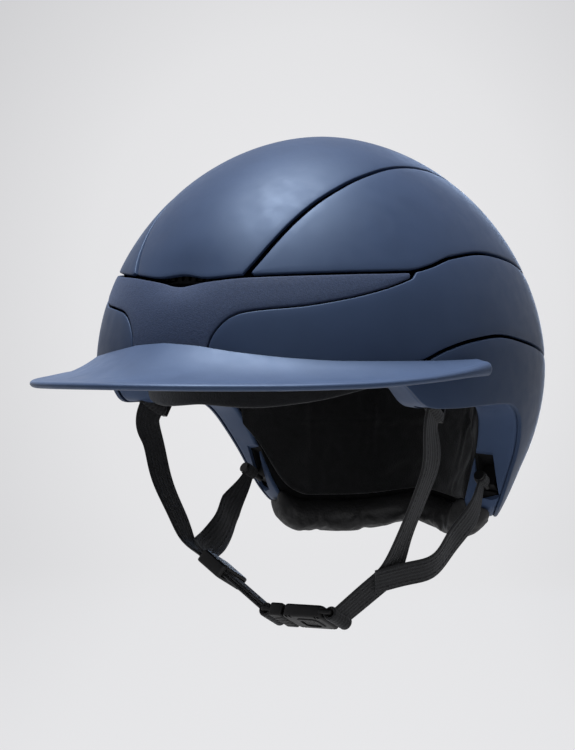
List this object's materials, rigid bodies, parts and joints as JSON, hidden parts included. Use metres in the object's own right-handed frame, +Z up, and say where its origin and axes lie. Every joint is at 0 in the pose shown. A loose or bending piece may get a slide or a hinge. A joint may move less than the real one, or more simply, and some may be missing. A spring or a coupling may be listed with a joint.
{
  "type": "equestrian riding helmet",
  "caption": "Panelled riding helmet with a wide swept brim, foam liner, comfort pads and a four-point harness with a push-button chin buckle.",
  "frame": {"origin": "centre of the crown pad's flat lower face, where the top of the head sits", "axes": "+Z up, -Y the way the wearer faces, +X the wearer's left"},
  "size_m": [0.2364, 0.3155, 0.2526],
  "materials": {
    "navy_paint": "satin, smooth moulded shell panels",
    "navy_textured": "fine grained soft-touch",
    "navy_brim": "satin, smooth",
    "navy_trim": "satin",
    "black_shell": "matte",
    "black_foam": "matte foam",
    "black_plastic": "fine textured",
    "button_plastic": "satin",
    "black_fabric": "matte brushed knit",
    "black_leather": "soft matte",
    "webbing": "woven",
    "steel": "plated"
  },
  "bodies": {
    "shell": {"crown_panel": "navy_paint", "upper_panel_left": "navy_paint", "upper_panel_right": "navy_paint", "lower_panel_left": "navy_paint", "lower_panel_right": "navy_paint", "front_band": "navy_textured", "lower_shell": "navy_paint", "brim": "navy_brim", "rim_trim": "navy_trim", "base_shell": "black_shell", "eps_liner": "black_foam", "vent_grille": "black_plastic", "brow_pad": "black_fabric", "side_pad_left": "black_fabric", "side_pad_right": "black_fabric", "rear_pad": "black_fabric", "nape_roll": "black_leather", "crown_pad": "black_fabric", "anchor_front_left": "black_plastic", "anchor_front_right": "black_plastic", "anchor_rear_left": "black_plastic", "anchor_rear_right": "black_plastic", "rivet_front_left": "steel", "rivet_front_right": "steel", "rivet_rear_left": "steel", "rivet_rear_right": "steel"},
    "left_harness": {"strap_front_left": "webbing", "strap_rear_left": "webbing", "buckle_housing": "black_plastic"},
    "button": {"release_button": "button_plastic"},
    "right_harness": {"strap_front_right": "webbing", "strap_rear_right": "webbing", "buckle_tongue": "black_plastic"},
    "divider": {"strap_divider": "black_plastic"}
  },
  "joints": [
    {"name": "left_harness_swing", "type": "hinge", "parent": "shell", "child": "left_harness", "pos_m": [0.09092, -0.02893, -0.10527], "axis": [0.1972, -0.8477, 0.4924], "range_deg": [0, 60]},
    {"name": "right_harness_swing", "type": "hinge", "parent": "shell", "child": "right_harness", "pos_m": [-0.09092, -0.02893, -0.10527], "axis": [0.1972, 0.8477, -0.4924], "range_deg": [0, 48]},
    {"name": "button_press", "type": "slide", "parent": "left_harness", "child": "button", "axis": [0, 0.4067, 0.9135], "range_m": [0, 0.0015], "stiffness_N_per_m": 600},
    {"name": "divider_slide", "type": "slide", "parent": "right_harness", "child": "divider", "axis": [0.8736, -0.1917, -0.4473], "range_m": [0, 0.01]}
  ],
  "couplings": [
    {"joint": "right_harness_swing", "follows": "left_harness_swing", "ratio": 0.8}
  ]
}
